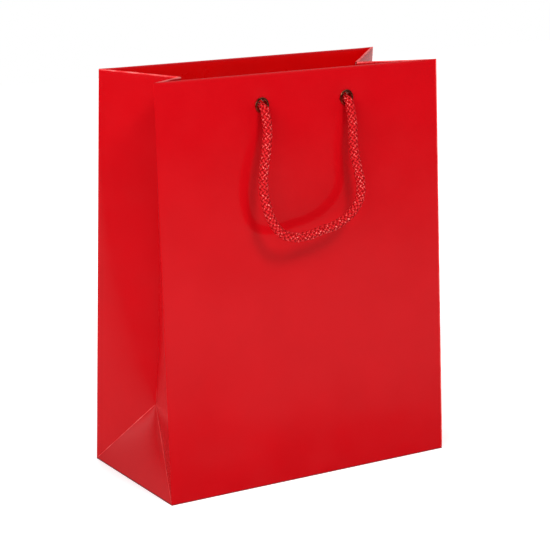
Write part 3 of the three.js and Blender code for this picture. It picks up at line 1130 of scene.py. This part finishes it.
@dataclass
class Gusset:
    """One gusseted side: its foot, and the two halves that bend in to its middle crease."""

    side: Side
    finishes: Finishes
    crease_bead: float = 0.28
    fold_radius: float = 0.5
    tip_radius: float = 0.8
    bend: float = 9.0
    foot_bow: float = 1.8
    apex: Vector = field(init=False)
    tip: Vector = field(init=False)

    def __post_init__(self) -> None:
        """Finds the apex and the tip of the middle crease."""
        self.apex = joint_place(f"{self.side.value}_front_diagonal_fold")
        self.tip = self._find_tip(self.corner(Face.FRONT, SHEET_HEIGHT))

    def corner(self, face: Face, up: float) -> Vector:
        """Gives a point on the bag's corner between this side and a face."""
        return on_panel(face, self.side.sign * face.turn * HALF_WIDTH, 0, up)

    def build(self) -> None:
        """Builds the foot and both halves."""
        self._build_foot()
        for face in Face:
            self._build_half(face)

    def _find_tip(self, corner: Vector) -> Vector:
        """Finds where the middle crease meets the mouth, from the paper's own unfolded lengths."""
        to_corner = math.sqrt(HALF_DEPTH**2 - corner.y**2)
        crease = SHEET_HEIGHT - HALF_DEPTH
        dx, dz = corner.x - self.apex.x, corner.z - self.apex.z
        span = math.hypot(dx, dz)
        along = (crease**2 - to_corner**2 + span**2) / (2 * span)
        off = math.sqrt(crease**2 - along**2)
        sign = self.side.sign
        x = self.apex.x + (dx * along - sign * dz * off) / span
        z = self.apex.z + (dz * along + sign * dx * off) / span
        return Vector((x, 0, z))

    def half_point(self, face: Face, across: float, up: float) -> Vector:
        """Gives a point on one half, which is rounded over the diagonal rather than sharply creased.

        Args:
            face: The panel that the half is joined to.
            across: The share of the way from the corner to the middle crease.
            up: The share of the sheet's height.

        Returns:
            The point.
        """
        low = HALF_DEPTH / SHEET_HEIGHT
        corner = self.corner(face, SHEET_HEIGHT * up)
        if up <= low:
            return corner.lerp(self.corner(face, 0).lerp(self.apex, up / low), across)
        left = (1 - up) / (1 - low)
        diagonal = self.corner(face, SHEET_HEIGHT).lerp(self.apex, left)
        crease = self.apex.lerp(self.tip, 1 - left)
        bend = 1 - 2 * left
        t = across if abs(bend) < 1e-4 else (math.sqrt(left**2 + bend * across) - left) / bend
        return corner * (1 - t) ** 2 + diagonal * (2 * t * (1 - t)) + crease * t**2

    def _build_foot(self) -> None:
        """Builds the triangle that stands on the bottom's short edge."""
        front, back = self.corner(Face.FRONT, 0), self.corner(Face.BACK, 0)
        shell = Shell()
        bow = Vector((-self.side.sign * self.foot_bow * 4, 0, 0))
        sheet = FoldedSheet(
            surface=lambda across, up: front.lerp(back, across).lerp(self.apex, up)
            + bow * (across * (1 - across) * up**2 * (1 - up) * 6.75),
            heart=HEART,
            columns=30,
            rows=24,
            seed=3.0,
        )
        sheet.into(shell)
        shell.bead(front, self.apex, self.crease_bead)
        shell.bead(back, self.apex, self.crease_bead)
        piece = shell.make(f"{self.side.value}_foot_facet", self.finishes.paper)
        install(piece, f"{self.side.value}_foot", "red_paper", f"{self.side.value}_gusset_foot")

    def _build_half(self, face: Face) -> None:
        """Builds one half and bakes it into place."""
        name = f"{self.side.value}_{face.value}"
        shell = Shell()
        sheet = FoldedSheet(
            surface=lambda across, up: self.half_point(face, across, up),
            heart=HEART,
            columns=36,
            rows=81,
            wave=0.12,
            seed=5.0 + self.side.sign,
            turnover=Turnover(HEM_DEPTH, 0.25, self.fold_radius, self.tip_radius, mitre_left=2.2),
            fold_finish=CREASE,
        )
        sheet.into(shell)
        if face is Face.FRONT:
            shell.bead(self.apex, self.tip, self.crease_bead)
            down = (self.apex - self.tip).normalized()
            width = self.tip_radius - 0.1
            inset = Vector((-self.side.sign * width, 0, 0))
            head = self.tip + down * (width + 0.2) + inset
            shell.bead(head, self.tip + down * HEM_DEPTH + inset, width, FILM)
        piece = shell.make(f"{name}_gusset_half", self.finishes.paper)
        self._let_bend(piece, face)

    def _let_bend(self, piece: bpy.types.Object, face: Face) -> None:
        """Bakes a half into place and hides the CAD triangles that it stands for."""
        name = f"{self.side.value}_{face.value}"
        corner = self.corner(face, SHEET_HEIGHT)
        seam = (self.apex - corner).normalized()
        way = self.tip - self.corner(face, 0)
        way = (way - seam * way.dot(seam)).normalized()
        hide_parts(f"{name}_gusset_lower", f"{name}_gusset_upper")
        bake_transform(piece)
        log.info("%s bends over its diagonal, %d faces", piece.name, len(piece.data.polygons))


@dataclass
class Bottom:
    """The bag's bottom: the creased rim, coloured as painted shade, and the finishes of its flaps, board and
    hidden parts.
    """

    finishes: Finishes
    strip: float = 1.1
    rim_out: float = 0.27
    rim_rise: float = 0.42
    steps: int = 60
    arc_steps: int = 6

    def build(self) -> None:
        """Builds the rim and dresses the CAD parts that stay."""
        shell = Shell()
        signs = ((-1, -1), (1, -1), (1, 1), (-1, 1))
        corners = [Vector((x * HALF_WIDTH, y * HALF_DEPTH, FOLD_HEIGHT)) for x, y in signs]
        for here, there in zip(corners, corners[1:] + corners[:1]):
            self._rim(shell, here, there)
        # The rim is finished in painted shade, a dark red for the shadow along the bottom creases.
        rim = shell.make("bottom_rim_painted_shade", [self.finishes.rim])
        install(rim, "base", "red_paper")
        self._dress()

    def _rim(self, shell: Shell, here: Vector, there: Vector) -> None:
        """Adds the narrow rounded strip of paper along one bottom crease."""
        along = (there - here).normalized()
        inward = Vector((-along.y, along.x, 0))
        rings = []
        for step in range(self.steps + 1):
            share = step / self.steps
            middle = here.lerp(there, share)
            ring = []
            for k in range(self.arc_steps + 1):
                turn = math.pi * (0.5 + k / self.arc_steps)
                rise = math.sin(turn) * (self.rim_rise if turn < math.pi else FOLD_HEIGHT)
                ring.append(middle + inward * (self.rim_out * math.cos(turn)) + Vector((0, 0, rise)))
            mitre = along * (self.strip * (1 - 2 * share))
            for rise in (-PAPER / 2, PAPER / 2):
                ring.append(middle + mitre + inward * self.strip + Vector((0, 0, rise)))
            rings.append(ring)
        shell.rings(rings, [FILM] * len(rings[0]))

    def _dress(self) -> None:
        """Gives the flaps, board, tab and mouth cards their finishes."""
        dressed = {
            "base_front_flap": self.finishes.red,
            "base_back_flap": self.finishes.red,
            "base_left_flap": self.finishes.inner,
            "base_right_flap": self.finishes.inner,
            "base_board": self.finishes.board,
            "glue_tab": self.finishes.inner,
            "front_mouth_card": self.finishes.board,
            "back_mouth_card": self.finishes.board,
        }
        for name, material in dressed.items():
            slots = frame["nodes"][name].data.materials
            slots.clear()
            slots.append(material)
            log.info("%s keeps its CAD shape, finished in %s", name, material.name)


# ---------------------------------------------------------------- studio

WHITE = (1, 1, 1, 1)


@dataclass
class Studio:
    """The camera, floor and lamps."""

    azimuth: float = 0.5537
    elevation: float = 0.2440
    distance: float = 1.2091
    lens: float = 124.88
    aim_right: float = 0.002806
    aim_up: float = -0.007607
    aim_height: float = 0.127
    sensor: float = 36
    key_power: float = 9.2
    fill_power: float = 12.0
    top_power: float = 4.6
    floor_glow: float = 0.36
    far_glow: float = 0.80
    floor_reach: float = 1600.0
    floor_steps: int = 12

    def build_camera(self) -> None:
        """Places the camera."""
        level = math.cos(self.elevation)
        back = Vector(
            (-math.sin(self.azimuth) * level, -math.cos(self.azimuth) * level, math.sin(self.elevation))
        )
        right = Vector((math.cos(self.azimuth), -math.sin(self.azimuth), 0))
        up = back.cross(right)
        target = right * self.aim_right + up * self.aim_up + Vector((0, 0, self.aim_height))
        data = bpy.data.cameras.new("camera")
        data.lens = self.lens
        data.sensor_width = self.sensor
        camera = bpy.data.objects.new("camera", data)
        bpy.context.scene.collection.objects.link(camera)
        camera.location = target + back * self.distance
        camera.rotation_mode = "QUATERNION"
        camera.rotation_quaternion = (-back).to_track_quat("-Z", "Y")
        bpy.context.scene.camera = camera

    def build_floor(self) -> None:
        """Lays the floor."""
        shell = Shell()
        steps, reach = self.floor_steps, self.floor_reach
        size = 2 * reach / steps
        ways = ((0, 0), (size, 0), (size, size), (0, size))
        for row in range(steps):
            for column in range(steps):
                x = (column / steps * 2 - 1) * reach
                y = (row / steps * 2 - 1) * reach
                start = shell.add([Vector((x + dx, y + dy, 0)) for dx, dy in ways])
                shell.face((start, start + 1, start + 2, start + 3))
        material, nodes, shader = new_material("studio_floor")
        shader.inputs["Base Color"].default_value = (0.93, 0.93, 0.93, 1)
        shader.inputs["Roughness"].default_value = 0.9
        shader.inputs["Specular IOR Level"].default_value = 0.0
        shader.inputs["Emission Color"].default_value = WHITE
        reach_out = nodes.node("ShaderNodeVectorMath", operation="LENGTH")
        nodes.join(nodes.place(), reach_out.inputs[0])
        glow = nodes.spread(reach_out.outputs["Value"], 0.2, 0.8, self.floor_glow, self.far_glow)
        nodes.join(glow, shader.inputs["Emission Strength"])
        floor = shell.make("studio_floor", [material])
        floor.visible_glossy = False

    def build_lamps(self) -> None:
        """Hangs the key lamp in front, the fill lamp to the left and the top lamp above the back."""
        self._lamp("key_lamp", Vector((0.10, -0.98, 1.12)), 0.32, self.key_power)
        self._lamp("fill_lamp", Vector((-1.05, -0.55, 0.75)), 0.9, self.fill_power)
        self._lamp("top_lamp", Vector((0.0, 0.45, 1.25)), 0.5, self.top_power)

    def _lamp(self, name: str, place: Vector, size: float, power: float) -> None:
        """Hangs one square lamp that faces the middle of the bag."""
        data = bpy.data.lights.new(name, "AREA")
        data.shape = "SQUARE"
        data.size = size
        data.energy = power
        lamp = bpy.data.objects.new(name, data)
        bpy.context.scene.collection.objects.link(lamp)
        lamp.location = place
        lamp.visible_glossy = False
        lamp.rotation_mode = "QUATERNION"
        lamp.rotation_quaternion = (Vector((0, 0, 0.13)) - place).to_track_quat("-Z", "Y")


# Brightness of the surroundings in a reflection, by the sine of the elevation.
RIGHT_FRONT = [
    *((-0.9, 0.20), (-0.245, 0.0), (-0.228, 0.005), (-0.219, 0.085), (-0.208, 0.165)),
    *((-0.193, 0.245), (-0.168, 0.28), (-0.138, 0.22), (-0.110, 0.14), (-0.084, 0.06)),
    *((-0.058, 0.0), (0.05, 0.01), (0.4, 0.16), (0.9, 0.35)),
]
LEFT_FRONT = [
    *((-0.9, 0.3), (-0.41, 0.17), (-0.32, 0.08), (-0.27, 0.04), (-0.21, 0.0)),
    *((0.05, 0.02), (0.4, 0.25)),
]
BEHIND = [(-0.9, 0.28), (-0.1, 0.5), (0.1, 0.64), (0.3, 0.5), (0.9, 0.3)]
FAR_BEHIND = [(-0.9, 0.08), (-0.1, 0.08), (0.1, 0.06), (0.9, 0.25)]


@dataclass
class Surroundings:
    """What lies round the bag: white to look at, even as soft light, and graded in reflections."""

    ambient: float = 0.30
    glint: float = 4.0
    glint_way: tuple[float, float, float] = (-0.60, -0.50, 0.62)
    glint_edge: tuple[float, float] = (0.955, 0.985)
    to_right: tuple[float, float] = (-0.3, 0.2)
    to_behind: tuple[float, float] = (0.26, 0.60)
    to_far_behind: tuple[float, float] = (0.72, 0.90)

    def build(self) -> None:
        """Makes the world."""
        scene = bpy.context.scene
        scene.view_settings.view_transform = "Standard"
        world = bpy.data.worlds.new("studio")
        world.use_nodes = True
        scene.world = world
        world.cycles.sampling_method = "NONE"
        nodes = NodeSheet(world.node_tree)
        world.node_tree.nodes.clear()
        ways = nodes.node("ShaderNodeLightPath")
        soft = self._light(nodes, WHITE, self.ambient)
        mirrored = self._light(nodes, self._reflected(nodes))
        glossy = self._choose(nodes, ways.outputs["Is Glossy Ray"], soft, mirrored)
        plain = self._choose(nodes, ways.outputs["Is Camera Ray"], glossy, self._light(nodes, WHITE))
        nodes.join(plain, nodes.node("ShaderNodeOutputWorld").inputs["Surface"])

    def _reflected(self, nodes: NodeSheet) -> bpy.types.NodeSocket:
        """Gives the colour of the surroundings in a reflection, by its direction."""
        way = nodes.node("ShaderNodeTexCoord").outputs["Generated"]
        split = nodes.node("ShaderNodeSeparateXYZ")
        nodes.join(way, split.inputs["Vector"])
        x, y, z = split.outputs["X"], split.outputs["Y"], split.outputs["Z"]
        left, right, behind, far_behind = (
            self._grade(nodes, z, stops) for stops in (LEFT_FRONT, RIGHT_FRONT, BEHIND, FAR_BEHIND)
        )
        front = nodes.mix(nodes.spread(x, *self.to_right, 0, 1), left, right)
        behind = nodes.mix(nodes.spread(y, *self.to_far_behind, 0, 1), behind, far_behind)
        seen = nodes.mix(nodes.spread(y, *self.to_behind, 0, 1), front, behind)
        return self._add_glint(nodes, way, seen)

    def _add_glint(
        self, nodes: NodeSheet, way: bpy.types.NodeSocket, seen: bpy.types.NodeSocket
    ) -> bpy.types.NodeSocket:
        """Adds a small bright patch, up and to the left, that the metal and yarn pick up as glints."""
        near = nodes.node("ShaderNodeVectorMath", operation="DOT_PRODUCT")
        nodes.join(way, near.inputs[0])
        near.inputs[1].default_value = Vector(self.glint_way).normalized()
        share = nodes.spread(near.outputs["Value"], *self.glint_edge, 0, 1)
        return nodes.mix(share, seen, (self.glint, self.glint, self.glint, 1))

    def _grade(
        self, nodes: NodeSheet, height: bpy.types.NodeSocket, stops: list[tuple[float, float]]
    ) -> bpy.types.NodeSocket:
        """Grades brightness by height above the horizon, as the sine of the elevation."""
        share = nodes.spread(height, -1, 1, 0, 1)
        return nodes.ramp(share, [((sine + 1) / 2, (level, level, level)) for sine, level in stops])

    def _light(self, nodes: NodeSheet, colour: object, strength: float = 1.0) -> bpy.types.NodeSocket:
        """Makes a background light of a colour that is a socket or a fixed value."""
        made = nodes.node("ShaderNodeBackground")
        if isinstance(colour, bpy.types.NodeSocket):
            nodes.join(colour, made.inputs["Color"])
        else:
            made.inputs["Color"].default_value = colour
        made.inputs["Strength"].default_value = strength
        return made.outputs["Background"]

    def _choose(
        self,
        nodes: NodeSheet,
        ray: bpy.types.NodeSocket,
        other: bpy.types.NodeSocket,
        chosen: bpy.types.NodeSocket,
    ) -> bpy.types.NodeSocket:
        """Shows one light to a kind of ray and another light to all other rays."""
        made = nodes.node("ShaderNodeMixShader")
        nodes.join(ray, made.inputs["Fac"])
        nodes.join(other, made.inputs[1])
        nodes.join(chosen, made.inputs[2])
        return made.outputs["Shader"]


def main() -> None:
    logging.basicConfig(level=logging.INFO, format="%(name)s: %(message)s", stream=sys.stdout)
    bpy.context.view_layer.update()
    studio = Studio()
    studio.build_camera()
    finishes = Finishes()
    for face in Face:
        RopeHandle(face, finishes).build()
    for face in Face:
        Panel(face, finishes).build()
        EyeletPair(face, finishes).build()
    for side in Side:
        Gusset(side, finishes).build()
    Bottom(finishes).build()
    studio.build_floor()
    Surroundings().build()
    studio.build_lamps()
    log.info("boxes written")


if __name__ == "__main__":
    main()
